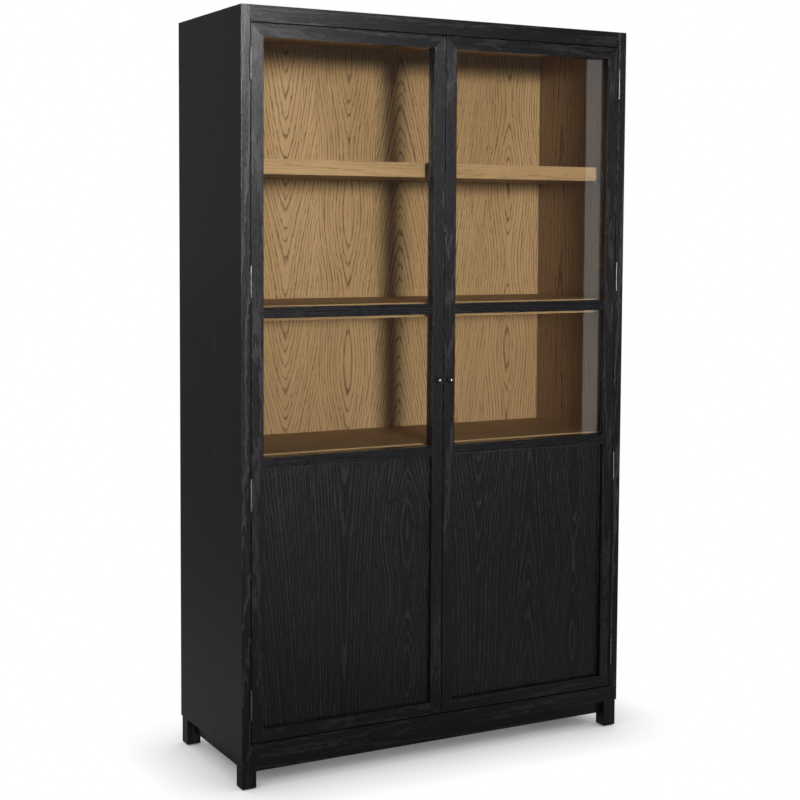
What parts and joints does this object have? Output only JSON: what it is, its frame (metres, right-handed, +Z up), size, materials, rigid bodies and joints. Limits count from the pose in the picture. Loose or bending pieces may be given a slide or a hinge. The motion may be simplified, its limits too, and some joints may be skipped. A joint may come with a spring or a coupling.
{
  "type": "two-door glass display cabinet",
  "caption": "Tall free-standing display cabinet: framed doors with glass above solid panels, thick oak shelves inside, on short square legs.",
  "frame": {"origin": "on the floor, under the middle of the cabinet's box with its knobs", "axes": "+X to the right seen from the front, +Y from the doors to the back, +Z up"},
  "size_m": [1.273, 0.495, 2.16],
  "materials": {
    "black_oak": "black-stained open-grained oak, satin",
    "natural_oak": "natural oak, satin",
    "clear_glass": "clear polished",
    "hinge_steel": "brushed",
    "gunmetal": "dark burnished, semi-gloss",
    "black_plastic": "moulded matt"
  },
  "bodies": {
    "carcass": {"left_gable": "black_oak", "right_gable": "black_oak", "top_panel": "black_oak", "floor_panel": "natural_oak", "frieze_rail": "black_oak", "bottom_rail": "black_oak", "back_panel": "natural_oak", "upper_shelf": "natural_oak", "middle_shelf": "natural_oak", "display_deck": "natural_oak", "base_shelf": "natural_oak", "front_left_leg": "black_oak", "front_left_glide": "black_plastic", "front_right_leg": "black_oak", "front_right_glide": "black_plastic", "back_left_leg": "black_oak", "back_left_glide": "black_plastic", "back_right_leg": "black_oak", "back_right_glide": "black_plastic", "front_apron": "black_oak", "back_apron": "black_oak", "left_apron": "black_oak", "right_apron": "black_oak", "left_gable_leaf_1": "hinge_steel", "left_gable_leaf_2": "hinge_steel", "left_gable_leaf_3": "hinge_steel", "left_gable_leaf_4": "hinge_steel", "right_gable_leaf_1": "hinge_steel", "right_gable_leaf_2": "hinge_steel", "right_gable_leaf_3": "hinge_steel", "right_gable_leaf_4": "hinge_steel", "door_catch": "black_plastic"},
    "left_door": {"left_door_hinge_stile": "black_oak", "left_door_lock_stile": "black_oak", "left_door_top_rail": "black_oak", "left_door_bottom_rail": "black_oak", "left_door_middle_rail": "black_oak", "left_door_low_rail": "black_oak", "left_door_panel": "black_oak", "left_door_upper_glass": "clear_glass", "left_door_lower_glass": "clear_glass", "left_door_knob": "gunmetal", "left_door_leaf_1": "hinge_steel", "left_door_leaf_2": "hinge_steel", "left_door_leaf_3": "hinge_steel", "left_door_leaf_4": "hinge_steel"},
    "right_door": {"right_door_hinge_stile": "black_oak", "right_door_lock_stile": "black_oak", "right_door_top_rail": "black_oak", "right_door_bottom_rail": "black_oak", "right_door_middle_rail": "black_oak", "right_door_low_rail": "black_oak", "right_door_panel": "black_oak", "right_door_upper_glass": "clear_glass", "right_door_lower_glass": "clear_glass", "right_door_knob": "gunmetal", "right_door_leaf_1": "hinge_steel", "right_door_leaf_2": "hinge_steel", "right_door_leaf_3": "hinge_steel", "right_door_leaf_4": "hinge_steel"}
  },
  "joints": [
    {"name": "left_door_swing", "type": "hinge", "parent": "carcass", "child": "left_door", "pos_m": [-0.6095, -0.231, 1.1215], "axis": [0, 0, -1], "range_deg": [0, 175]},
    {"name": "right_door_swing", "type": "hinge", "parent": "carcass", "child": "right_door", "pos_m": [0.6095, -0.231, 1.1215], "axis": [0, 0, 1], "range_deg": [0, 175]}
  ]
}
